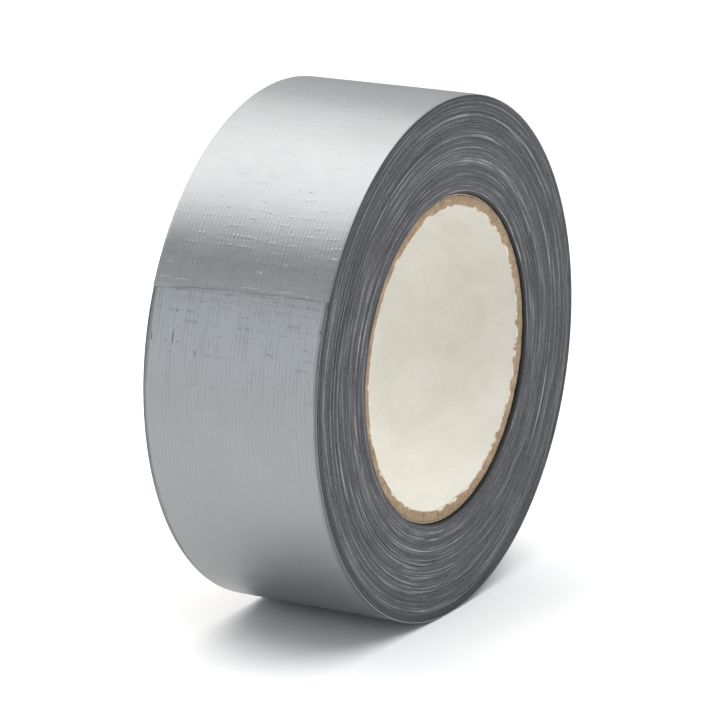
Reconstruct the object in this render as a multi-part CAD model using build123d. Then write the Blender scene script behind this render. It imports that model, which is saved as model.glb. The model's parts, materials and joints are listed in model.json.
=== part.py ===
from build123d import *

import math
import os

# A roll of cloth-backed duct tape on a spiral-wound paperboard core, standing on its rim like a wheel.
# Y runs along the bore, Z is up, and the origin is on the bore's axis, half way across the tape.
# Lengths are in millimetres and angles in degrees.

# The tape: a plastic film on a woven gauze (the scrim), with a rubber adhesive spread through it.
TAPE_WIDTH = 48.0
FILM = 0.06
SCRIM = 0.05
ADHESIVE = 0.06
TAPE = FILM + SCRIM + ADHESIVE

# The wound roll. The outer turns lie edge to edge, and the turns nearer the core stand further and
# further along +Y, so the -Y side is slightly dished and the +Y side slightly raised.
ROLL_RADIUS = 66.0
FLAT_SIDE_RADIUS = 56.0
INNER_TURN_SHIFT = 0.65

# The core: a paper liner, kraft plies and a thin outer ply, a little shorter than the tape is wide.
BORE_RADIUS = 38.0
LINER = 0.2
PLY = 0.52
PLY_COUNT = 5
OUTER_PLY = 0.3
CORE_LENGTH = 46.0
CORE_RECESS = 1.6
CORE_RADIUS = BORE_RADIUS + LINER + PLY_COUNT * PLY + OUTER_PLY

# The free end of the tape. It is cut square across and lies on the roll; the last stretch peels in
# links, each hinged along the film's outer face. CUT_ANGLE is measured from +X towards +Z.
CUT_ANGLE = 157.0
LINK_COUNT = 4
LINK_ANGLE = 10.5
TAIL_ANGLE = LINK_COUNT * LINK_ANGLE
LINK_GAP = 0.02
TAIL_LIFT = 0.03
LINK_GAP_ANGLE = math.degrees(LINK_GAP / ROLL_RADIUS)

# The spiral is built from this many arcs between the tail and the end of the last turn.
TURN_ARCS = 12
TURN_STOPS = [TAIL_ANGLE + i * (360 - TAIL_ANGLE) / TURN_ARCS for i in range(TURN_ARCS + 1)]
TAIL_STOPS = [i * LINK_ANGLE for i in range(LINK_COUNT)]

LOW_SIDE = -TAPE_WIDTH / 2
HIGH_SIDE = TAPE_WIDTH / 2
CORE_LOW = LOW_SIDE + CORE_RECESS
CORE_HIGH = CORE_LOW + CORE_LENGTH


def spiral_point(turned, depth):
    """A point on the low side of the tape, turned degrees in from its cut end, depth mm under its outer face."""
    angle = math.radians(CUT_ANGLE - turned)
    radius = ROLL_RADIUS - TAPE * turned / 360 - depth
    return Vector(radius * math.cos(angle), LOW_SIDE, radius * math.sin(angle))


def spiral_arcs(stops, depth):
    """Arcs along the tape's spiral, from each stop to the next."""
    return [
        Edge.make_three_point_arc(
            spiral_point(start, depth),
            spiral_point((start + end) / 2, depth),
            spiral_point(end, depth),
        )
        for start, end in zip(stops, stops[1:])
    ]


def widened(outline, high_side=HIGH_SIDE):
    """The solid swept by a closed outline on the low side as it moves across to the high side."""
    return Solid.extrude(Face(Wire(outline)), Vector(0, high_side - LOW_SIDE, 0))


def layer(stops, top, bottom):
    """One layer of the tape over a stretch of the spiral, between two depths under its outer face."""
    first, last = stops[0], stops[-1]
    ends = [
        Edge.make_line(spiral_point(first, top), spiral_point(first, bottom)),
        Edge.make_line(spiral_point(last, top), spiral_point(last, bottom)),
    ]
    return widened(spiral_arcs(stops, top) + spiral_arcs(stops, bottom) + ends)


def ring(profile):
    """A body of revolution about the bore's axis, from (radius, y) corners."""
    return revolve(make_face(Polyline(*profile, close=True)), Axis.Y)


def tube(inner, outer):
    """One ply of the core."""
    return ring([(inner, CORE_LOW), (outer, CORE_LOW), (outer, CORE_HIGH), (inner, CORE_HIGH)])


def core_parts():
    """The core's layers, from the bore outwards."""
    parts = {"core_liner": tube(BORE_RADIUS, BORE_RADIUS + LINER)}
    radius = BORE_RADIUS + LINER
    for i in range(PLY_COUNT):
        parts[f"core_ply_{i + 1}"] = tube(radius, radius + PLY)
        radius += PLY
    parts["core_outer_ply"] = tube(radius, CORE_RADIUS)
    return parts


def tape_winding():
    """All the turns under the last one. The step in its outline is where the last turn leaves it."""
    step = Edge.make_line(spiral_point(360, TAPE), spiral_point(0, TAPE))
    beyond = HIGH_SIDE + INNER_TURN_SHIFT
    block = widened(spiral_arcs(TAIL_STOPS + TURN_STOPS, TAPE) + [step], beyond)
    sides = ring(
        [
            (CORE_RADIUS, LOW_SIDE + INNER_TURN_SHIFT),
            (FLAT_SIDE_RADIUS, LOW_SIDE),
            (ROLL_RADIUS, LOW_SIDE),
            (ROLL_RADIUS, HIGH_SIDE),
            (FLAT_SIDE_RADIUS, HIGH_SIDE),
            (CORE_RADIUS, HIGH_SIDE + INNER_TURN_SHIFT),
        ]
    )
    return block & sides


def outer_turn_parts():
    """The last turn of tape, layer by layer, as far as the start of the tail."""
    return {
        "outer_turn_film": layer(TURN_STOPS, 0, FILM),
        "outer_turn_scrim": layer(TURN_STOPS, FILM, FILM + SCRIM),
        "outer_turn_adhesive": layer(TURN_STOPS, FILM + SCRIM, TAPE),
    }


def tail_parts():
    """The peeling end, layer by layer. Link 1 is hinged to the roll and the last link ends at the cut."""
    parts = {}
    for i in range(LINK_COUNT):
        hinge_side = TAIL_ANGLE - i * LINK_ANGLE
        stops = [hinge_side - LINK_ANGLE, hinge_side - LINK_GAP_ANGLE]
        parts[f"tail_film_{i + 1}"] = layer(stops, 0, FILM)
        parts[f"tail_scrim_{i + 1}"] = layer(stops, FILM, FILM + SCRIM)
        parts[f"tail_adhesive_{i + 1}"] = layer(stops, FILM + SCRIM, TAPE - TAIL_LIFT)
    return parts


def hinge_lines():
    """Where each link's hinge runs: along Y, on the film's outer face, in the middle of the gap."""
    return [
        spiral_point(TAIL_ANGLE - i * LINK_ANGLE - LINK_GAP_ANGLE / 2, 0) for i in range(LINK_COUNT)
    ]


os.makedirs("parts", exist_ok=True)
nodes = core_parts() | {"tape_winding": tape_winding()} | outer_turn_parts() | tail_parts()
for name, solid in nodes.items():
    export_step(solid, f"parts/{name}.step")
for number, line in enumerate(hinge_lines(), 1):
    print(f"hinge {number}: x {line.X:.4f}  z {line.Z:.4f}")
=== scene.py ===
import json
import math

import bpy
import numpy as np
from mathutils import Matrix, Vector


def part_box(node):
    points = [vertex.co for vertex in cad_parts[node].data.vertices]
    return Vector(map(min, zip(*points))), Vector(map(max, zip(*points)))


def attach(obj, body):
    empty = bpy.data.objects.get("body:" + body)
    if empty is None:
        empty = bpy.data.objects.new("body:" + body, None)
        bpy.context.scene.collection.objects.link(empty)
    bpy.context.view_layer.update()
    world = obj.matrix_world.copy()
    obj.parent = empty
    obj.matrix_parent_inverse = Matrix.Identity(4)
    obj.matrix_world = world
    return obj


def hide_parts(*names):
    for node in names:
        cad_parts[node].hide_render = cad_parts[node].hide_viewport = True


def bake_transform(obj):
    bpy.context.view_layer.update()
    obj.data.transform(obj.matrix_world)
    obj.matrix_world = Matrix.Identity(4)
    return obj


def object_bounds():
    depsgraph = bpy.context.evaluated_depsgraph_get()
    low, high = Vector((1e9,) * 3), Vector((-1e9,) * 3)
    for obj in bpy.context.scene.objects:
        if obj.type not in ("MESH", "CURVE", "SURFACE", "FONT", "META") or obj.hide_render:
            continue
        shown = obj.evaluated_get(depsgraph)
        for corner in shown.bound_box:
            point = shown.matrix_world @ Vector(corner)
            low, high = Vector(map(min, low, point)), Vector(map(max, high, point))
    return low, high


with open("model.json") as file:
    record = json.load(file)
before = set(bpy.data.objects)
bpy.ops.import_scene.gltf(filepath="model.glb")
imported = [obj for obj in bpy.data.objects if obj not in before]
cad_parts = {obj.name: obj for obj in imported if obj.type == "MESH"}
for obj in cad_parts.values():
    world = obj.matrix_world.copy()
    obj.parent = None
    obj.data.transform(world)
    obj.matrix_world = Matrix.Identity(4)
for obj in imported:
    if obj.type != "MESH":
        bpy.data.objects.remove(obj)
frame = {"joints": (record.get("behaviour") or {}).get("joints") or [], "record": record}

# A roll of silver duct tape. The roll's axis is Y, and every angle is measured round it from +X
# towards +Z. The tape is followed by "turned", the angle in radians from its cut end inwards.
# Lengths are in metres, except where a material says that it works in millimetres.

MM = 0.001
TURN = 2 * math.pi
cad_low, cad_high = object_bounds()

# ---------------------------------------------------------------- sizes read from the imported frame

joints = frame["joints"]
hinges = [Vector(j["pos_m"]) for j in joints]
hinge_angles = [math.atan2(p.z, p.x) for p in hinges]
LINK_COUNT = len(hinges)
LINK_ANGLE = (hinge_angles[-1] - hinge_angles[0]) / (LINK_COUNT - 1)
TAIL_ANGLE = LINK_COUNT * LINK_ANGLE
CUT_ANGLE = hinge_angles[-1] + LINK_ANGLE

winding_low, winding_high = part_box("tape_winding")
film_low, film_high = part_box("outer_turn_film")
core_low, core_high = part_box("core_liner")
TAPE = winding_low.z - film_low.z
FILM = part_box("outer_turn_scrim")[0].z - film_low.z
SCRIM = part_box("outer_turn_adhesive")[0].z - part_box("outer_turn_scrim")[0].z
ROLL_RADIUS = math.hypot(hinges[-1].x, hinges[-1].z) + TAPE * LINK_ANGLE / TURN
SIDE = film_high.y
INNER_TURN_SHIFT = winding_high.y - SIDE
CORE_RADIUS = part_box("core_outer_ply")[1].x
BORE_RADIUS = frame["record"]["mounts"][0]["dims"]["r_mm"] * MM
TURN_COUNT = (ROLL_RADIUS - CORE_RADIUS) / TAPE

# ---------------------------------------------------------------- sizes that only the looks need

# The gauze in the tape: lengthwise warp threads and crosswise weft threads.
WARP_PITCH = 1.04 * MM
WEFT_PITCH = 2.5 * MM
YARN_RADIUS = 0.02 * MM

# The tail's adhesive stops short of the turn under it, and that turn's film lies a little deeper.
# The stiff cut end stands off the roll as the free end of a glued beam does, with its tip pressed down.
TAIL_GAP = 0.02 * MM
UNDER_TAIL_DIP = 0.07 * MM
END_REACH = 2.2 * MM
END_LIFT = 0.13 * MM
TIP_REACH = 1.0 * MM
TIP_PRESS = 0.09 * MM

# The tape's two edges, and with them the outermost turns, are pressed down and round over.
RIM_WIDTH = 1.5 * MM
RIM_DROP = 0.06 * MM
RIM_TURNS = 4

# The wound turns: the outer ones lie flush, and the first ones stand off the core at their edges.
ANGULAR_STEPS = 330
FLAT_SIDE_RADIUS = 56 * MM
GROOVE_DEPTH = 0.04 * MM
WALL_CLEARANCE = 0.01 * MM
FLARE = 0.45 * MM
FLARE_TURNS = 4
FLARE_LENGTH = 2.5 * MM

# The core: points round each ply, and a nick across its near end.
PLY_COUNT = 5
CORE_STEPS = 720
NICK_ANGLE = math.radians(265.5)
NICK_HALF_WIDTH = math.radians(0.4)
NICK_DEPTH = 0.9 * MM


# ---------------------------------------------------------------- small tools

def polar(radius, angle, y):
    """Points from radius, angle and y, which may be arrays."""
    radius, angle, y = np.broadcast_arrays(radius, angle, y)
    return np.stack([radius * np.cos(angle), y, radius * np.sin(angle)], axis=-1)


def ease(t):
    """A smooth step from 0 at t = 0 to 1 at t = 1."""
    return t * t * (3 - 2 * t)


def smooth(x, low, high):
    """0 below low, 1 above high, and a smooth step between them."""
    return ease(np.clip((x - low) / (high - low), 0, 1))


def wander(x, seed):
    """A smooth random curve with a value from -1 to 1 at each whole x from 0 upwards."""
    values = np.random.default_rng(seed).uniform(-1, 1, int(np.max(x)) + 3)
    i = np.floor(x).astype(int)
    f = ease(x - i)
    return values[i] * (1 - f) + values[i + 1] * f


def ring_wander(angle, waves, seed):
    """A smooth random curve round the roll that closes on itself, about -1 to 1."""
    draw = np.random.default_rng(seed)
    total = np.zeros_like(angle, dtype=float)
    for wave in waves:
        total = total + draw.uniform(0.4, 1) * np.cos(wave * angle + draw.uniform(0, TURN))
    return total / math.sqrt(len(waves))


def make_object(name, points, quads, material, uv=None, triangles=()):
    """A mesh object from arrays. uv holds one pair per point, for the UV map that materials read."""
    faces = [np.asarray(quads, np.int64).reshape(-1, 4)]
    corners = faces[0].ravel()
    sizes = np.full(len(faces[0]), 4)
    if len(triangles):
        extra = np.asarray(triangles, np.int64).reshape(-1, 3)
        corners = np.concatenate([corners, extra.ravel()])
        sizes = np.concatenate([sizes, np.full(len(extra), 3)])
    mesh = bpy.data.meshes.new(name)
    mesh.vertices.add(len(points))
    mesh.vertices.foreach_set("co", np.asarray(points, np.float32).ravel())
    mesh.loops.add(len(corners))
    mesh.loops.foreach_set("vertex_index", corners.astype(np.int32))
    mesh.polygons.add(len(sizes))
    starts = np.concatenate([[0], np.cumsum(sizes)[:-1]])
    mesh.polygons.foreach_set("loop_start", starts.astype(np.int32))
    mesh.polygons.foreach_set("use_smooth", np.full(len(sizes), True))
    mesh.update(calc_edges=True)
    if uv is not None:
        layer = mesh.uv_layers.new(name="tape")
        layer.data.foreach_set("uv", np.asarray(uv, np.float32)[corners].ravel())
    mesh.materials.append(material)
    mesh.validate()
    piece = bpy.data.objects.new(name, mesh)
    bpy.context.scene.collection.objects.link(piece)
    return piece


def grid_quads(rows, columns, first=0, wrap=False, flip=False):
    """Quads over a rows by columns grid of points numbered row by row from first."""
    i, j = np.meshgrid(np.arange(rows - 1), np.arange(columns if wrap else columns - 1), indexing="ij")
    k = (j + 1) % columns
    quads = np.stack([i * columns + j, i * columns + k, (i + 1) * columns + k, (i + 1) * columns + j], -1)
    quads = quads.reshape(-1, 4) + first
    return quads[:, ::-1] if flip else quads


def sharpen(piece, degrees):
    """Marks the edges that turn by more than this, so that smooth shading stops there."""
    piece.data.set_sharp_from_angle(angle=math.radians(degrees))


# ---------------------------------------------------------------- materials

class Graph:
    """A material's nodes. add() makes a node, links the inputs given as sockets and sets the others."""

    def __init__(self, name):
        self.material = bpy.data.materials.new(name)
        self.material.use_nodes = True
        self.tree = self.material.node_tree
        self.tree.nodes.clear()

    def add(self, kind, inputs=None, output=0, **settings):
        node = self.tree.nodes.new("ShaderNode" + kind)
        for key, value in settings.items():
            setattr(node, key, value)
        for key, value in (inputs or {}).items():
            if isinstance(value, bpy.types.NodeSocket):
                self.tree.links.new(value, node.inputs[key])
            else:
                node.inputs[key].default_value = value
        return node.outputs[output] if len(node.outputs) else node

    def math(self, operation, a, b=0.0, c=0.0):
        return self.add("Math", {0: a, 1: b, 2: c}, operation=operation)

    def join(self, operation, values):
        """All the values taken together by a math operation, from first to last."""
        total = values[0]
        for value in values[1:]:
            total = self.math(operation, total, value)
        return total

    def pile(self, start, parts):
        """start, plus each part times its amount."""
        for part, amount in parts:
            start = self.math("MULTIPLY_ADD", part, amount, start)
        return start

    def remap(self, value, low, high, to_low=0.0, to_high=1.0, curve="LINEAR"):
        """value carried from low and high onto to_low and to_high, and held beyond them."""
        inputs = {0: value, 1: low, 2: high, 3: to_low, 4: to_high}
        return self.add("MapRange", inputs, interpolation_type=curve)

    def vector(self, x=0.0, y=0.0, z=0.0):
        return self.add("CombineXYZ", {0: x, 1: y, 2: z})

    def parts(self, vector):
        return self.add("SeparateXYZ", {0: vector}).node.outputs

    def stretch(self, vector, x, y, z):
        return self.add("VectorMath", {0: vector, 1: (x, y, z)}, operation="MULTIPLY")

    def noise(self, vector, scale=1.0, detail=2.0, roughness=0.5):
        inputs = {"Vector": vector, "Scale": scale, "Detail": detail, "Roughness": roughness}
        return self.add("TexNoise", inputs)

    def specks(self, position, scale, size, edge, strength=1.0):
        """Round specks, one in each cell: full within edge of the cell's centre and gone past size."""
        distance = self.add("TexVoronoi", {"Vector": position, "Scale": scale}, output=0)
        return self.remap(distance, size, edge, 0.0, strength)

    def position(self):
        """The shaded point, in metres."""
        return self.add("NewGeometry").node.outputs["Position"]

    def about_axis(self, position):
        """A point's distance from the roll's axis, in millimetres, and its direction from there."""
        flat = self.stretch(position, 1.0, 0.0, 1.0)
        distance = self.add("VectorMath", {0: flat}, output=1, operation="LENGTH")
        heading = self.add("VectorMath", {0: flat}, operation="NORMALIZE")
        return self.math("MULTIPLY", distance, 1.0 / MM), heading

    def ramp(self, value, stops):
        """A colour ramp from (position, colour) stops, or (position, grey) stops."""
        node = self.tree.nodes.new("ShaderNodeValToRGB")
        self.tree.links.new(value, node.inputs[0])
        ends = node.color_ramp.elements
        while len(ends) < len(stops):
            ends.new(0.5)
        for element, (position, colour) in zip(ends, stops):
            element.position = position
            element.color = (*colour, 1) if hasattr(colour, "__len__") else (colour, colour, colour, 1)
        return node.outputs[0]

    def mix(self, share, a, b):
        node = self.tree.nodes.new("ShaderNodeMix")
        node.data_type = "RGBA"
        for socket, value in ((node.inputs[0], share), (node.inputs[6], a), (node.inputs[7], b)):
            if isinstance(value, bpy.types.NodeSocket):
                self.tree.links.new(value, socket)
            else:
                socket.default_value = (*value, 1) if hasattr(value, "__len__") else value
        return node.outputs[2]

    def bump(self, height, distance):
        return self.add("Bump", {"Height": height, "Distance": distance, "Strength": 1.0})

    def finish(self, **inputs):
        """The Principled shader, with underscores for the spaces in its inputs' names."""
        named = {key.replace("_", " "): value for key, value in inputs.items()}
        surface = self.add("BsdfPrincipled", named)
        self.add("OutputMaterial", {"Surface": surface})
        return self.material


def tape_place(graph):
    """How far along and how far across the tape a point is, in millimetres."""
    along, across, _ = graph.parts(graph.add("UVMap", uv_map="tape"))
    return graph.math("MULTIPLY", along, 1.0 / MM), graph.math("MULTIPLY", across, 1.0 / MM)


def film_material():
    """Silver film over gauze: ribs along the tape, broken weft lines, and knots where they cross.

    It works in millimetres, with the cut end at 0 along the tape.
    """
    g = Graph("silver_film")
    along, across = tape_place(g)
    place = g.vector(along, across)

    def stretched(per_along, per_across, detail, roughness=0.5, layer=0.0):
        """Noise with this many cells in a millimetre along the tape and across it."""
        x, y = g.math("MULTIPLY", along, per_along), g.math("MULTIPLY", across, per_across)
        return g.noise(g.vector(x, y, layer), 1.0, detail, roughness)

    def along_a_thread(thread, per_across, detail, roughness=0.5):
        """Noise along a crosswise thread, different for each thread."""
        return g.noise(g.vector(thread, g.math("MULTIPLY", across, per_across)), 1.0, detail, roughness)

    def fade(x):
        return g.math("EXPONENT", g.math("MULTIPLY", x, -1.0))

    # the warp's ribs, which show in patches
    drift = stretched(0.02, 0.35, 1.0)
    warp_phase = g.math("MULTIPLY_ADD", across, TURN / (WARP_PITCH / MM), g.math("MULTIPLY", drift, 5.5))
    warp = g.math("COSINE", warp_phase)
    patches = g.remap(stretched(0.11, 0.5, 3.0, layer=4.0), 0.38, 0.64, 0.1, 1.0)
    warp_height = g.math("MULTIPLY", warp, patches)

    # weft threads: each lies a little off its pitch, and shows through the film only here and there
    bow = stretched(0.006, 0.05, 1.0)
    shifted = g.math("ADD", along, g.math("MULTIPLY", bow, 3.0))
    weft_count = g.math("DIVIDE", shifted, WEFT_PITCH / MM)
    weft_wave = g.math("SINE", g.math("MULTIPLY", g.math("FRACT", weft_count), math.pi))
    weft_line, weft_wide, weft_thin = (g.math("POWER", weft_wave, power) for power in (14.0, 16.0, 60.0))
    thread = g.math("MULTIPLY", g.math("FLOOR", weft_count), 7.31)
    shows = along_a_thread(thread, 0.16, 2.0, 0.6)
    weft_height = g.math("MULTIPLY", weft_line, g.math("MULTIPLY", shows, 0.5))
    dash = g.math("MULTIPLY", weft_thin, g.remap(shows, 0.64, 0.70, curve="SMOOTHSTEP"))

    # knots where a weft thread crosses a warp thread
    knotted = along_a_thread(g.math("ADD", thread, 3.7), 0.22, 2.0, 0.6)
    crossing = g.math("POWER", g.math("MULTIPLY_ADD", warp, 0.5, 0.5), 3.0)
    knot = g.math("MULTIPLY", weft_wide, crossing)
    knot = g.math("MULTIPLY", knot, g.remap(knotted, 0.54, 0.64, curve="SMOOTHSTEP"))

    # the last weft threads before the cut, which the stiff end presses up in short lengths
    sway = g.noise(g.vector(g.math("MULTIPLY", across, 0.13), 2.0), 1.0, 1.0)
    end_rows = []
    for from_cut, seed, least in ((2.9, 11.0, 0.48), (6.6, 17.0, 0.57)):
        middle = g.math("MULTIPLY_ADD", sway, -1.2, from_cut + 0.6)
        away = g.math("DIVIDE", g.math("SUBTRACT", along, middle), 0.2)
        shown = g.remap(along_a_thread(seed, 0.21, 1.0), least, least + 0.07, curve="SMOOTHSTEP")
        end_rows.append(g.math("MULTIPLY", fade(g.math("MULTIPLY", away, away)), shown))
    end_rows = g.join("MAXIMUM", end_rows)

    # short creases pressed in along the tape, each at a place along and across it, with a length
    creases = []
    for crease_along, crease_across, length in (
        (403.4, 16.5, 3.4), (403.1, 22.5, 2.2), (400.2, 10.0, 1.8),
    ):
        wide = g.math("DIVIDE", g.math("SUBTRACT", across, crease_across), 0.16)
        long = g.math("DIVIDE", g.math("SUBTRACT", along, crease_along), length / 2)
        flat_ended = g.math("POWER", g.math("ABSOLUTE", long), 4.0)
        creases.append(fade(g.math("ADD", g.math("MULTIPLY", wide, wide), flat_ended)))
    creases = g.join("ADD", creases)

    # fine cross wrinkles, stronger away from the tail, and a pebbled face
    wrinkle = stretched(0.9, 0.12, 4.0, 0.65)
    pebble = g.noise(place, 1.5, 2.0, 0.6)
    height = g.pile(g.math("MULTIPLY", wrinkle, g.remap(along, 44.0, 58.0, 3.5, 15.0)), (
        (warp_height, 2.2), (weft_height, 2.0), (knot, 10.0), (dash, 6.0), (end_rows, 6.0),
        (creases, -7.0), (pebble, 5.0),
    ))
    normal = g.bump(height, 0.006 * MM)

    # painted shade: the hollows between the ribs, the streaks and the knots are darker, at half strength
    # near the cut end, faint from about 25 to 65 mm along where the highlight falls, and full near the end
    # of the turn
    cloud = g.noise(place, 0.035, 3.0, 0.6)
    colour = g.ramp(cloud, [(0.3, (0.265, 0.276, 0.284)), (0.7, (0.284, 0.294, 0.303))])
    length_of_turn = 415.0
    hollow_shade_reach = g.ramp(g.math("DIVIDE", along, length_of_turn), [
        (0.0, 0.55), (0.03, 0.50), (0.06, 0.12), (0.16, 0.12), (0.50, 0.35), (0.87, 0.40), (0.97, 1.0),
    ])
    hollows = g.remap(warp_height, 0.5, -0.9, 0.0, 0.38)
    streaks = g.remap(wrinkle, 0.56, 0.36, 0.0, 0.22)
    dark = g.join("MAXIMUM", [hollows, streaks, g.math("MULTIPLY", knot, 0.22)])
    colour = g.mix(g.math("MULTIPLY", dark, hollow_shade_reach), colour, (0.150, 0.155, 0.160))
    # painted shade in the creases pressed in along the tape
    colour = g.mix(g.math("MULTIPLY", creases, 0.7), colour, (0.092, 0.095, 0.099))

    # the tape's edges are darker in places, further in on the far part of the turn
    inset = g.math("SUBTRACT", SIDE / MM, g.math("ABSOLUTE", across))
    smear = stretched(0.06, 0.8, 3.0, 0.6)
    reach = g.math("MULTIPLY", g.remap(along, 90.0, 330.0, 0.25, 3.0), smear)
    edge = g.remap(g.math("DIVIDE", inset, reach), 1.0, 0.0, 0.0, 0.75, curve="SMOOTHSTEP")
    colour = g.mix(edge, colour, (0.060, 0.061, 0.066))
    roughness = g.remap(wrinkle, 0.3, 0.7, 0.29, 0.37)
    return g.finish(Base_Color=colour, Metallic=0.92, Roughness=roughness, Normal=normal,
                    Coat_Weight=0.08, Coat_Roughness=0.25)


def turn_edges_material():
    """The slit edges of the turns: dark adhesive and gauze, with film edges painted pale as their silver is
    and bright as a painted highlight.
    """
    g = Graph("turn_edges")
    position = g.position()
    radius, heading = g.about_axis(position)
    heading_x, _, heading_z = g.parts(heading)

    def arcs(around, across, detail, seed):
        """Noise drawn out round the roll: around waves in a radian, across waves in a millimetre."""
        x = g.math("MULTIPLY_ADD", heading_x, around, seed)
        z = g.math("MULTIPLY", heading_z, around)
        return g.noise(g.vector(x, z, g.math("MULTIPLY", radius, across)), 1.0, detail, 0.6)

    bands = arcs(0.6, 0.30, 2.0, 3.0)
    lines = arcs(0.9, 3.2, 2.0, 20.0)
    fine = arcs(2.4, 5.6, 2.0, 40.0)
    grain = arcs(50.0, 3.6, 3.0, 60.0)
    tone = g.pile(0.03, ((bands, 0.10), (lines, 0.16), (fine, 0.18), (grain, 0.50)))
    colour = g.ramp(tone, [
        (0.37, (0.022, 0.022, 0.025)),
        (0.44, (0.046, 0.047, 0.054)),
        (0.50, (0.070, 0.071, 0.081)),
        (0.56, (0.100, 0.102, 0.114)),
        (0.64, (0.170, 0.173, 0.188)),
    ])

    # film edges that stand out, painted pale as their silver and brighter still as a painted highlight: long
    # fine threads, and a few short painted glints, all broken here and there
    threads = []
    for around, across, least, seed in (
        (0.6, 5.4, 0.68, 80.0), (1.1, 7.0, 0.68, 95.0), (2.6, 6.2, 0.70, 110.0),
    ):
        threads.append(g.remap(arcs(around, across, 0.0, seed), least, least + 0.04))
    threads = g.join("MAXIMUM", threads)
    threads = g.math("MULTIPLY", threads, g.remap(arcs(5.0, 1.0, 2.0, 130.0), 0.34, 0.62))
    colour = g.mix(g.math("MULTIPLY", threads, 0.72), colour, (0.46, 0.465, 0.48))
    # painted shade: fine dark arcs where the grooves between the turns lie
    groove_shade = g.remap(arcs(0.8, 5.0, 0.0, 150.0), 0.37, 0.31)
    colour = g.mix(g.math("MULTIPLY", groove_shade, 0.75), colour, (0.010, 0.010, 0.012))

    # painted shade: the outermost turns are darker, over about the last 3 mm in from the rim
    rim_shade = g.remap(radius, ROLL_RADIUS / MM - 3.2, ROLL_RADIUS / MM - 0.4, 0.0, 0.60)
    colour = g.mix(rim_shade, colour, (0.020, 0.020, 0.021))

    # the first turns stand off the core: their wall is dark adhesive with painted shade, and painted black
    # shadow where the core hides it
    shaded_gap_wall = g.remap(radius, CORE_RADIUS / MM + 0.62, CORE_RADIUS / MM + 0.40)
    colour = g.mix(shaded_gap_wall, colour, (0.024, 0.025, 0.024))
    y = g.parts(position)[1]
    past_core = g.math("MAXIMUM", g.math("SUBTRACT", core_low.y, y), g.math("SUBTRACT", y, core_high.y))
    shade = g.remap(past_core, 0.50 * MM, 0.20 * MM)
    colour = g.mix(g.math("MULTIPLY", shade, shaded_gap_wall), colour, (0.004, 0.003, 0.002))

    height = g.pile(g.math("MULTIPLY", threads, 0.8), ((fine, 0.9), (lines, 0.8)))
    normal = g.bump(height, 0.03 * MM)
    roughness = g.remap(grain, 0.3, 0.7, 0.42, 0.60)
    return g.finish(Base_Color=colour, Roughness=roughness, Normal=normal, Specular_IOR_Level=0.3)


def board_material(name, dark, light, fleck):
    """Paperboard: fibres drawn out round the core, flecks, and shreds of the liner over the inner ply."""
    g = Graph(name)
    position = g.position()
    fibre = g.noise(g.stretch(position, 1.0, 2.2, 1.0), 1400.0, 4.0, 0.65)
    cloud = g.noise(position, 420.0, 2.0, 0.5)
    tone = g.math("ADD", g.math("MULTIPLY", fibre, 0.6), g.math("MULTIPLY", cloud, 0.4))
    colour = g.ramp(tone, [(0.36, dark), (0.60, light)])
    colour = g.mix(g.specks(position, 900.0, 0.16, 0.06), colour, fleck)

    radius, heading = g.about_axis(position)
    from_bore = g.math("SUBTRACT", radius, BORE_RADIUS / MM)
    tear = g.remap(g.noise(heading, 10.0, 4.0, 0.6), 0.44, 0.68, 0.0, 1.1)
    shreds = g.remap(g.math("SUBTRACT", from_bore, tear), 0.12, -0.12, 0.0, 0.85)
    colour = g.mix(shreds, colour, (0.80, 0.76, 0.66))

    # a dark seam between the plies and the thin outer one
    seam = g.math("ABSOLUTE", g.math("SUBTRACT", radius, CORE_RADIUS / MM - 0.36))
    colour = g.mix(g.remap(seam, 0.20, 0.08, 0.0, 0.6), colour, (0.10, 0.066, 0.04))
    normal = g.bump(fibre, 0.12 * MM)
    return g.finish(Base_Color=colour, Roughness=0.88, Normal=normal, Specular_IOR_Level=0.25)


def liner_material():
    """Off-white paper, faintly mottled by the board under it, and paler at its torn ends, partly a painted
    highlight.
    """
    g = Graph("liner_paper")
    position = g.position()
    mottle = g.noise(position, 95.0, 4.0, 0.62)
    fibre = g.noise(g.stretch(position, 1.0, 1.6, 1.0), 1700.0, 3.0, 0.6)
    tone = g.math("ADD", g.math("MULTIPLY", mottle, 0.6), g.math("MULTIPLY", fibre, 0.4))
    colour = g.ramp(tone, [
        (0.30, (0.62, 0.597, 0.535)),
        (0.50, (0.69, 0.668, 0.605)),
        (0.70, (0.745, 0.727, 0.672)),
    ])
    colour = g.mix(g.specks(position, 420.0, 0.07, 0.02, 0.5), colour, (0.40, 0.33, 0.24))
    # paler near the torn ends: torn fibres are paler, and a painted highlight runs along the edge
    from_middle = g.math("ABSOLUTE", g.parts(position)[1])
    torn_and_highlit = g.remap(from_middle, core_high.y - 0.9 * MM, core_high.y - 0.2 * MM, 0.0, 0.8)
    colour = g.mix(torn_and_highlit, colour, (0.90, 0.88, 0.83))
    normal = g.bump(tone, 0.05 * MM)
    return g.finish(Base_Color=colour, Roughness=0.8, Normal=normal, Specular_IOR_Level=0.3)


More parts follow.
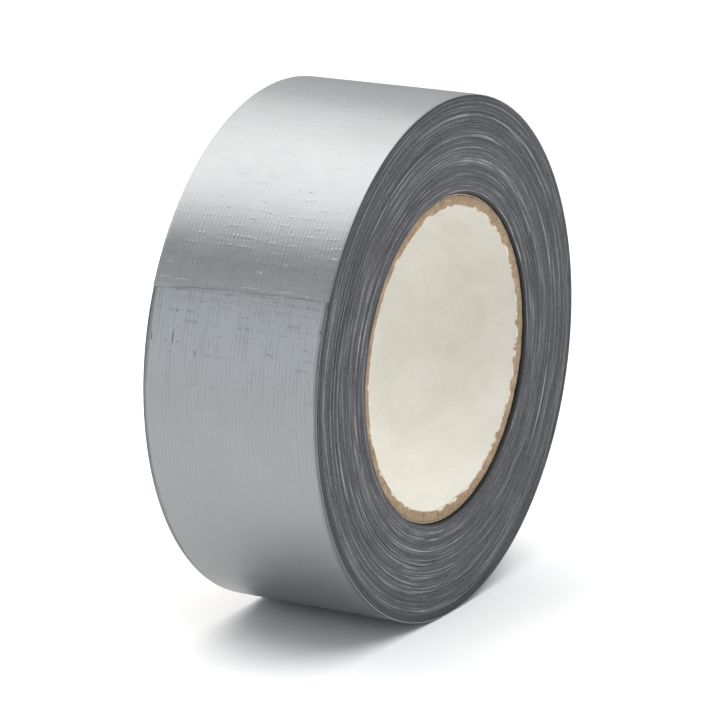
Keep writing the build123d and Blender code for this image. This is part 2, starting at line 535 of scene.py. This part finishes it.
def adhesive_material():
    """Grey tacky rubber, with the gauze's mesh showing through it."""
    g = Graph("adhesive")
    along, across = tape_place(g)
    warp = g.math("COSINE", g.math("MULTIPLY", across, TURN / (WARP_PITCH / MM)))
    weft = g.math("COSINE", g.math("MULTIPLY", along, TURN / (WEFT_PITCH / MM)))
    threads = g.math("MAXIMUM", g.remap(warp, 0.55, 0.95), g.remap(weft, 0.86, 0.99))
    smear = g.noise(g.vector(along, across), 0.8, 3.0, 0.6)
    colour = g.mix(g.math("MULTIPLY", threads, 0.45), (0.30, 0.31, 0.32), (0.60, 0.60, 0.59))
    colour = g.mix(0.3, colour, g.ramp(smear, [(0.3, 0.2), (0.7, 0.5)]))
    normal = g.bump(g.math("ADD", threads, smear), 0.03 * MM)
    return g.finish(Base_Color=colour, Roughness=0.32, Normal=normal, Specular_IOR_Level=0.5)


def scrim_material():
    """White cotton yarn."""
    g = Graph("gauze_yarn")
    fuzz = g.noise(g.position(), 5000.0, 3.0, 0.6)
    colour = g.ramp(fuzz, [(0.3, (0.45, 0.45, 0.43)), (0.7, (0.70, 0.70, 0.67))])
    return g.finish(Base_Color=colour, Roughness=0.9, Normal=g.bump(fuzz, 0.02 * MM), Sheen_Weight=0.3)


def floor_material():
    """A pale matt table top."""
    g = Graph("floor")
    colour = g.ramp(g.noise(g.position(), 6.0, 2.0), [(0.3, 0.96), (0.7, 0.98)])
    return g.finish(Base_Color=colour, Roughness=0.9, Specular_IOR_Level=0.2)


FILM_LOOK = film_material()
EDGE_LOOK = turn_edges_material()
ADHESIVE_LOOK = adhesive_material()
SCRIM_LOOK = scrim_material()
LINER_LOOK = liner_material()
KRAFT = board_material("kraft_board", (0.26, 0.18, 0.11), (0.47, 0.345, 0.23), (0.14, 0.09, 0.055))
OUTER_PAPER = board_material("outer_ply_paper", (0.48, 0.39, 0.28), (0.72, 0.61, 0.47), (0.30, 0.22, 0.15))


# ---------------------------------------------------------------- the tape's last turn and its tail

def tape_radius(turned, depth=0.0):
    """Radius of the wound tape, depth under its outer face."""
    return ROLL_RADIUS - TAPE * turned / TURN - depth


def cut_line(y):
    """How far in from the tape's longest corner the hand-cut end lies, as an angle."""
    x = (y + SIDE) / MM
    inwards = 1.75 * (SIDE - y) / (2 * SIDE) + 0.8 * (1 - (y / SIDE) ** 2)
    for amount, wavelength, seed in ((0.12, 9, 41), (0.07, 2.3, 42), (0.04, 0.7, 43)):
        inwards = inwards + amount * wander(x / wavelength, seed)
    return inwards * MM / ROLL_RADIUS


def end_lift(turned):
    """How far the stiff end of the tape stands off the roll."""
    x = np.maximum(turned, 0) * ROLL_RADIUS
    lift = END_LIFT * np.exp(-x / END_REACH) * np.cos(x / END_REACH)
    return lift - TIP_PRESS * np.clip(1 - x / TIP_REACH, 0, 1) ** 2


def under_tail(turned, y):
    """The turn under the tail lies a little deeper than it, from just behind the cut."""
    behind_cut = turned - TURN - cut_line(y)
    return -UNDER_TAIL_DIP * smooth(behind_cut, 0.001, 0.02)


def film_relief(turned, y):
    """How far the film strays from a true spiral: long shallow swells, and the dip under the tail."""
    along = turned * ROLL_RADIUS
    swell = 0.020 * MM * np.sin(along / (13 * MM) + 1.3 + y / (30 * MM)) * np.cos(y / (11 * MM) + 0.6)
    ripple = 0.008 * MM * np.sin(along / (4.1 * MM) + 2 * np.sin(y / (8 * MM)))
    return swell + ripple + under_tail(turned, y)


def gauze_relief(turned, y):
    """How far the adhesive bulges over the gauze on its tacky face."""
    return -0.010 * MM * np.cos(TURN * y / WARP_PITCH)


def rim_drop(y):
    """How far the tape's edges are pressed down."""
    return RIM_DROP * np.clip(1 - (SIDE - np.abs(y)) / RIM_WIDTH, 0, 1) ** 2.5


def stops_between(start, end, step):
    """Even stops from start to end, at most a step of so many degrees apart."""
    return np.linspace(start, end, max(2, int(math.ceil((end - start) / math.radians(step))) + 1))


def across_stops(count):
    """Places across the tape, closer together over its rounded edges."""
    rim = RIM_WIDTH * np.linspace(0, 1, 9) ** 1.3
    middle = np.linspace(RIM_WIDTH - SIDE, SIDE - RIM_WIDTH, count)[1:-1]
    return np.concatenate([rim - SIDE, middle, (SIDE - rim)[::-1]])


def tape_layer(name, start, end, top, bottom, material, top_relief=None, bottom_relief=None,
               along_step=0.7, across_count=46):
    """A closed slab of one layer of tape between two turned angles. At the cut it follows the cut line."""
    s, across = np.meshgrid(stops_between(start, end, along_step), across_stops(across_count), indexing="ij")
    if start == 0:
        near_cut = np.clip(1 - s / (LINK_ANGLE / 2), 0, 1)
        s = s + near_cut * cut_line(across)
    angle = CUT_ANGLE - s

    def face(depth, relief):
        radius = tape_radius(s, depth) + end_lift(s) - rim_drop(across)
        if relief is not None:
            radius = radius + relief(s, across)
        return polar(radius, angle, across).reshape(-1, 3)

    rows, columns = s.shape
    count = rows * columns
    number = np.arange(count).reshape(rows, columns)
    around = np.concatenate([number[0, :-1], number[:-1, -1], number[-1, :0:-1], number[:0:-1, 0]])
    onward = np.roll(around, -1)
    walls = np.stack([around, around + count, onward + count, onward], -1)
    quads = np.concatenate([
        grid_quads(rows, columns, flip=True),
        grid_quads(rows, columns, first=count),
        walls[:, ::-1],
    ])
    points = np.concatenate([face(top, top_relief), face(bottom, bottom_relief)])
    place = np.stack([s.ravel() * ROLL_RADIUS, across.ravel()], -1)
    piece = make_object(name, points, quads, material, np.concatenate([place, place]))
    sharpen(piece, 50)
    return piece


def thread_tubes(paths, radius, sides=4):
    """Points and quads of closed round tubes, one along each path of points."""
    points, quads, first = [], [], 0
    turn = np.arange(sides) * TURN / sides
    for path in paths:
        ahead = np.gradient(path, axis=0)
        ahead /= np.linalg.norm(ahead, axis=1, keepdims=True)
        outward = path * [1, 0, 1]
        outward /= np.linalg.norm(outward, axis=1, keepdims=True)
        beside = np.cross(ahead, outward)
        ring = outward[:, None] * np.cos(turn)[:, None] + beside[:, None] * np.sin(turn)[:, None]
        points.append((path[:, None] + radius * ring).reshape(-1, 3))
        quads.append(grid_quads(len(path), sides, first=first, wrap=True))
        last = first + (len(path) - 1) * sides
        start_cap = [first + 3, first + 2, first + 1, first]
        end_cap = [last, last + 1, last + 2, last + 3]
        quads.append(np.array([start_cap, end_cap]))
        first += len(path) * sides
    return np.concatenate(points), np.concatenate(quads)


def gauze(name, start, end, along_step):
    """The woven gauze of a stretch of tape: straight warp threads, and weft threads laid across them."""
    depth = FILM + SCRIM / 2
    margin = 0.1 * MM
    weft_sway = 0.4 * MM

    def thread(turned, y):
        return polar(tape_radius(turned, depth) + end_lift(turned) - rim_drop(y), CUT_ANGLE - turned, y)

    paths = []
    for y in np.arange(-SIDE + WARP_PITCH / 2, SIDE, WARP_PITCH):
        paths.append(thread(stops_between(max(start, cut_line(y)), end, along_step), y))
    weft_angle = WEFT_PITCH / ROLL_RADIUS
    across = np.linspace(-SIDE + margin, SIDE - margin, 25)
    for number in range(math.ceil(start / weft_angle + 0.25), int(end / weft_angle + 0.75)):
        turned = number * weft_angle + weft_sway / ROLL_RADIUS * np.sin(across / (9 * MM))
        if turned.min() > cut_line(across).max():
            paths.append(thread(np.clip(turned, start, end), across))
    points, quads = thread_tubes(paths, YARN_RADIUS)
    return make_object(name, points, quads, SCRIM_LOOK)


def dress(piece, nodes, body=None, bend=None):
    """Hides the CAD nodes that a piece stands for, and attaches the piece to its body; a piece given a bend
    is only baked in place.
    """
    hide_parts(*nodes)
    if bend is None:
        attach(piece, body)
    else:
        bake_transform(piece)


def tape_stretch(label, start, end, nodes, body=None, bend=None, hidden_under=0.0):
    """Film, gauze and adhesive of one stretch of tape. The tail's are finer, as they come into view."""
    in_tail = start < TAIL_ANGLE
    film = tape_layer(
        f"film_{label}", start, end + hidden_under, 0, FILM, FILM_LOOK, film_relief, under_tail,
    )
    dress(film, [nodes[0]], body, bend)
    yarn = gauze(f"gauze_{label}", start, end, 0.7 if in_tail else 3.0)
    dress(yarn, [nodes[1]], body, bend)
    depth = TAPE - TAIL_GAP if in_tail else TAPE
    rubber = tape_layer(
        f"adhesive_{label}", start, end, FILM, depth, ADHESIVE_LOOK, bottom_relief=gauze_relief,
        along_step=1.4, across_count=170 if in_tail else 46,
    )
    dress(rubber, [nodes[2]], body, bend)


def hinge_span(number):
    """A stretch of tape from half a link before a hinge to half a link after."""
    turned = TAIL_ANGLE - number * LINK_ANGLE
    before, after = turned + LINK_ANGLE / 2, turned - LINK_ANGLE / 2
    ends = [Vector(polar(tape_radius(s), CUT_ANGLE - s, 0.0)) for s in (turned, after)]
    return before, after, ends


def last_turn_and_tail():
    """The last turn rides the roll, a stretch lies over each hinge, and the cut end rides the last link."""
    bodies = ["roll"] + [f"tail_link_{i + 1}" for i in range(LINK_COUNT)]
    start_of_roll = hinge_span(0)[0]
    # The film runs on under the tail, as the next turn's film does, and shows there once the tail lifts.
    tape_stretch(
        "last_turn", start_of_roll, TURN, ["outer_turn_film", "outer_turn_scrim", "outer_turn_adhesive"],
        body="roll", hidden_under=start_of_roll + math.radians(4),
    )
    for i in range(LINK_COUNT):
        before, after, (start_point, end_point) = hinge_span(i)
        tape_stretch(
            f"bend_{i + 1}", after, before,
            [f"tail_film_{i + 1}", f"tail_scrim_{i + 1}", f"tail_adhesive_{i + 1}"],
            bend=(bodies[i], bodies[i + 1], start_point, end_point),
        )
    last = LINK_COUNT
    tape_stretch(
        "cut_end", 0, LINK_ANGLE / 2, [f"tail_film_{last}", f"tail_scrim_{last}", f"tail_adhesive_{last}"],
        body=bodies[-1],
    )


# ---------------------------------------------------------------- the turns under the last one

def side_shift(radius):
    """How far along +Y a turn lies: the outer turns are flush, the inner ones telescoped."""
    inwards = (FLAT_SIDE_RADIUS - radius) / (FLAT_SIDE_RADIUS - CORE_RADIUS)
    return INNER_TURN_SHIFT * np.clip(inwards, 0, 1)


def lattice(angle, turns, around, pitch, seed):
    """Smooth random values, -1 to 1, on around cells in a circle and a cell every pitch turns outwards."""
    cells = np.random.default_rng(seed).uniform(-1, 1, (around, int(TURN_COUNT / pitch) + 4))
    a, b = np.mod(angle, TURN) / TURN * around, turns / pitch
    i, j = np.floor(a).astype(int) % around, np.floor(b).astype(int)
    u, v = ease(a - np.floor(a)), ease(b - j)
    k = (i + 1) % around
    near = cells[i, j] * (1 - u) + cells[k, j] * u
    far = cells[i, j + 1] * (1 - u) + cells[k, j + 1] * u
    return near * (1 - v) + far * v


def winding_wander(angle, turns):
    """How far sideways the tape strayed as it was wound, by angle and number of turns from the core."""
    draw = np.random.default_rng(7)
    step_count = 260
    knots = np.cumsum(draw.uniform(0.12, 2.2, step_count))
    values = draw.normal(0, 0.024, step_count)
    steps = np.interp(turns, knots, values)
    for around, pitch, amount, seed in ((3, 9.0, 0.05, 31), (5, 2.3, 0.035, 32), (9, 1.1, 0.03, 33)):
        steps = steps + amount * lattice(angle, turns, around, pitch, seed)
    return steps * MM


def wound_half(name, side):
    """The turns on one side of the middle, side -1 or 1. Each turn's edge is a ridge between two grooves.

    The groove and the ridge are spirals from the core outwards, the groove a turn longer. After them
    come a ring at the foot of the flare, the inner wall's ring in the middle plane, and the outer wall's.
    """
    turns_total = TURN_COUNT - 2
    steps = int(round(turns_total * ANGULAR_STEPS))
    n = np.arange(steps + ANGULAR_STEPS + 1)
    turns = n / ANGULAR_STEPS
    angle = CUT_ANGLE - TURN * (turns_total - turns)
    inner = CORE_RADIUS + TAPE * turns
    flare = FLARE * np.clip(1 - turns / FLARE_TURNS, 0, 1)

    def rim(at_turns):
        return RIM_DROP * np.clip(1 - (turns_total - at_turns) / RIM_TURNS, 0, 1)

    def side_y(radius, at_angle, at_turns, depth):
        return side * (SIDE - depth) + side_shift(radius) + winding_wander(at_angle, at_turns)

    # where the turn above is the film under the tail, the groove leaves room for it
    under_tail_steps = math.ceil((TAIL_ANGLE + LINK_ANGLE) / TURN * ANGULAR_STEPS)
    under_film = n > steps - under_tail_steps + ANGULAR_STEPS
    groove_radius = np.where(n < ANGULAR_STEPS, CORE_RADIUS, inner) + flare
    groove_radius = groove_radius - np.where(under_film, FILM + UNDER_TAIL_DIP + WALL_CLEARANCE, 0)
    groove_radius = groove_radius - rim(turns)
    groove = polar(groove_radius, angle, side_y(groove_radius, angle, turns, GROOVE_DEPTH))

    ridge_count = steps + 1
    ridge_turns = turns[:ridge_count] + 0.5
    ridge_radius = CORE_RADIUS + TAPE * ridge_turns + flare[:ridge_count] - rim(ridge_turns)
    ridge_angle = angle[:ridge_count]
    ridge = polar(ridge_radius, ridge_angle, side_y(ridge_radius, ridge_angle, turns[:ridge_count], 0))

    points = [groove, ridge]
    uvs = [
        np.stack([turns * TURN * inner, turns], -1),
        np.stack([(turns * TURN * inner)[:ridge_count], ridge_turns], -1),
    ]
    g = np.arange(steps)
    r = len(groove) + g
    quads = [
        np.stack([g, g + 1, r + 1, r], -1),
        np.stack([r, r + 1, g + 1 + ANGULAR_STEPS, g + ANGULAR_STEPS], -1),
    ]

    # the inner wall, from the flared edge to the middle plane
    first = len(groove) + ridge_count
    second = first + ANGULAR_STEPS
    for y in (side * (SIDE - FLARE_LENGTH), 0.0):
        points.append(polar(CORE_RADIUS, angle[:ANGULAR_STEPS], y))
        uvs.append(np.stack([angle[:ANGULAR_STEPS] * CORE_RADIUS, np.zeros(ANGULAR_STEPS)], -1))
    ring = np.arange(ANGULAR_STEPS)
    onward = (ring + 1) % ANGULAR_STEPS
    quads.append(np.stack([onward, ring, first + ring, first + onward], -1))
    quads.append(np.stack([first + onward, first + ring, second + ring, second + onward], -1))

    # the outer wall, the step in it where the last turn starts, and the ring in the middle plane
    outer_edge = np.arange(steps, steps + ANGULAR_STEPS + 1)
    outer = second + ANGULAR_STEPS + np.arange(ANGULAR_STEPS + 1)
    points.append(groove[outer_edge] * [1, 0, 1])
    uvs.append(uvs[0][outer_edge])
    quads.append(np.stack([outer_edge[:-1], outer_edge[1:], outer[1:], outer[:-1]], -1))
    quads.append(np.array([[outer_edge[-1], outer_edge[0], outer[0], outer[-1]]]))
    inner_ring = second + (np.arange(ANGULAR_STEPS + 1) + steps) % ANGULAR_STEPS
    quads.append(np.stack([outer[:-1], outer[1:], inner_ring[1:], inner_ring[:-1]], -1))

    # the wedges on the side face: where the first turn climbs onto the tape's start, and at the step
    triangles = [
        [ANGULAR_STEPS - 1, 0, ANGULAR_STEPS],
        [steps, len(groove) + steps, steps + ANGULAR_STEPS],
    ]
    quads = np.concatenate(quads)
    if side > 0:
        quads = quads[:, ::-1]
        triangles = [t[::-1] for t in triangles]
    piece = make_object(name, np.concatenate(points), quads, EDGE_LOOK, np.concatenate(uvs), triangles)
    sharpen(piece, 60)
    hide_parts("tape_winding")
    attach(piece, "roll")


# ---------------------------------------------------------------- the core

core_angle = np.arange(CORE_STEPS) * TURN / CORE_STEPS


def core_tube(name, node, inner, outer, look, shortfall, ring_count):
    """One ply: a tube. shortfall(side, k) is how far ring k of that end stops short, at each angle."""
    radii = np.linspace(inner, outer, ring_count)
    low_rings = [(radius, core_low.y + shortfall(-1, k)) for k, radius in enumerate(radii)]
    high_rings = [(radius, core_high.y - shortfall(1, k)) for k, radius in enumerate(radii)]
    low_y, high_y = low_rings[0][1], high_rings[0][1]
    outer_low, outer_high = low_rings[-1][1], high_rings[-1][1]
    sections = low_rings[::-1]
    sections += [(inner, low_y + (high_y - low_y) * t) for t in np.linspace(0, 1, 12)[1:-1]]
    sections += high_rings
    sections += [(outer, outer_high + (outer_low - outer_high) * t) for t in (0.33, 0.67)]

    points = np.concatenate([polar(radius, core_angle, y) for radius, y in sections])
    place = np.concatenate([np.stack([core_angle * BORE_RADIUS, y], -1) for _, y in sections])
    ring = np.arange(CORE_STEPS)
    onward = (ring + 1) % CORE_STEPS
    last = (len(sections) - 1) * CORE_STEPS
    closing = np.stack([last + ring, last + onward, onward, ring], -1)
    quads = np.concatenate([grid_quads(len(sections), CORE_STEPS, wrap=True), closing])
    piece = make_object(name, points, quads, look, place)
    sharpen(piece, 50)
    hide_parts(node)
    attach(piece, "roll")


def core():
    """The liner, torn back unevenly at its ends, and the plies, whose slit ends are rough."""
    def torn_end(side, k):
        slow = ring_wander(core_angle, [5, 9, 14, 23, 31], 11 + side)
        quick = ring_wander(core_angle, [47, 61, 83, 109, 137, 171, 203], 21 + side)
        return MM * np.clip(0.30 + 0.28 * slow + 0.22 * quick, 0, 1.2)

    def rough_end(side, k, ply):
        draw = np.random.default_rng(100 + 10 * ply + k + (50 if side > 0 else 0))
        fuzz = draw.uniform(0, 0.07, CORE_STEPS)
        fuzz = (fuzz + np.roll(fuzz, 1)) / 2
        wave = 0.05 * ring_wander(core_angle, [7, 19, 37, 73], 60 + ply)
        groove = 0.05 if k in (0, ply_rings - 1) else 0.0
        end = MM * np.clip(fuzz + wave + groove, 0, 0.3)
        nicked = side < 0 and ply < PLY_COUNT - 1
        return end + NICK_DEPTH * (np.abs(core_angle - NICK_ANGLE) < NICK_HALF_WIDTH) if nicked else end

    ply_rings = 4
    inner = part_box("core_liner")[1].x
    core_tube("paper_liner", "core_liner", BORE_RADIUS, inner, LINER_LOOK, torn_end, 2)
    for ply in range(PLY_COUNT + 1):
        outermost = ply == PLY_COUNT
        label = "outer_ply" if outermost else f"ply_{ply + 1}"
        look, slot = (OUTER_PAPER, "outer_ply_paper") if outermost else (KRAFT, "kraft_board")
        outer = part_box(f"core_{label}")[1].x
        core_tube(
            f"board_{label}", f"core_{label}", inner, outer, look,
            lambda side, k, ply=ply: rough_end(side, k, ply), ply_rings,
        )
        inner = outer


# ---------------------------------------------------------------- floor, lights and camera

def studio_floor():
    reach = 6.0
    corners = [[-reach, -reach], [reach, -reach], [reach, reach], [-reach, reach]]
    points = [[x, y, cad_low.z] for x, y in corners]
    floor = make_object("floor", points, [[0, 1, 2, 3]], floor_material())


def area_light(name, direction, distance, width, height, radiance, colour=(1, 1, 1)):
    """A soft rectangular light facing the roll, as bright as a surface of that radiance."""
    data = bpy.data.lights.new(name, "AREA")
    data.shape = "RECTANGLE"
    data.size = width
    data.size_y = height
    data.energy = radiance * math.pi * width * height
    data.color = colour
    light = bpy.data.objects.new(name, data)
    away = Vector(direction).normalized()
    light.location = away * distance
    light.rotation_euler = away.to_track_quat("Z", "Y").to_euler()
    bpy.context.scene.collection.objects.link(light)


def mirrored(angle):
    """A direction that the film mirrors to the camera. angle is measured up from -X in the XZ plane."""
    along_axis, across_axis = 0.479, 0.878
    turned = math.radians(angle)
    return -across_axis * math.cos(turned), along_axis, across_axis * math.sin(turned)


def lights():
    """Cards placed by what the film mirrors: a softbox above with a wider one round it, a dim card behind
    and a cool one on the left. A large light above and in front falls on the side face and the bore."""
    world = bpy.data.worlds.new("studio")
    world.use_nodes = True
    background = world.node_tree.nodes["Background"]
    background.inputs["Color"].default_value = (0.97, 1.0, 1.03, 1)
    background.inputs["Strength"].default_value = 0.48
    bpy.context.scene.world = world

    warm, cool = (1.03, 1.0, 0.965), (0.98, 1.0, 1.02)
    area_light("softbox", mirrored(90), 1.2, 0.85, 1.1, 1.25, warm)
    area_light("softbox_rim", mirrored(95), 1.22, 1.65, 1.2, 1.36, warm)
    area_light("back_card", mirrored(140), 1.3, 0.7, 1.0, 0.46, warm)
    area_light("left_card", mirrored(11.5), 1.3, 0.6, 0.95, 1.31, cool)
    area_light("top_front", (-0.1, -0.4, 0.92), 1.5, 1.6, 1.2, 2.71)


def camera():
    """A long lens that looks at the roll from beyond its cut end, about 15 degrees above the floor."""
    azimuth, elevation = math.radians(-60.3), math.radians(14.6)
    distance = 1.0
    aim_right, aim_up = -3.67 * MM, -1.08 * MM
    back = Vector((
        math.sin(azimuth) * math.cos(elevation),
        -math.cos(azimuth) * math.cos(elevation),
        math.sin(elevation),
    ))
    right = Vector((-back.y, back.x, 0)).normalized()
    up = back.cross(right)
    target = right * aim_right + up * aim_up
    data = bpy.data.cameras.new("camera")
    data.sensor_width = 36.0
    data.lens = 204.5
    data.clip_start = 0.01
    data.clip_end = 50.0
    viewer = bpy.data.objects.new("camera", data)
    viewer.location = back * distance
    viewer.rotation_euler = (viewer.location - target).to_track_quat("Z", "Y").to_euler()
    bpy.context.scene.collection.objects.link(viewer)
    bpy.context.scene.camera = viewer


last_turn_and_tail()
wound_half("turns_dished_side", -1)
wound_half("turns_raised_side", 1)
core()
studio_floor()
lights()
camera()
bpy.context.scene.view_settings.view_transform = "Standard"
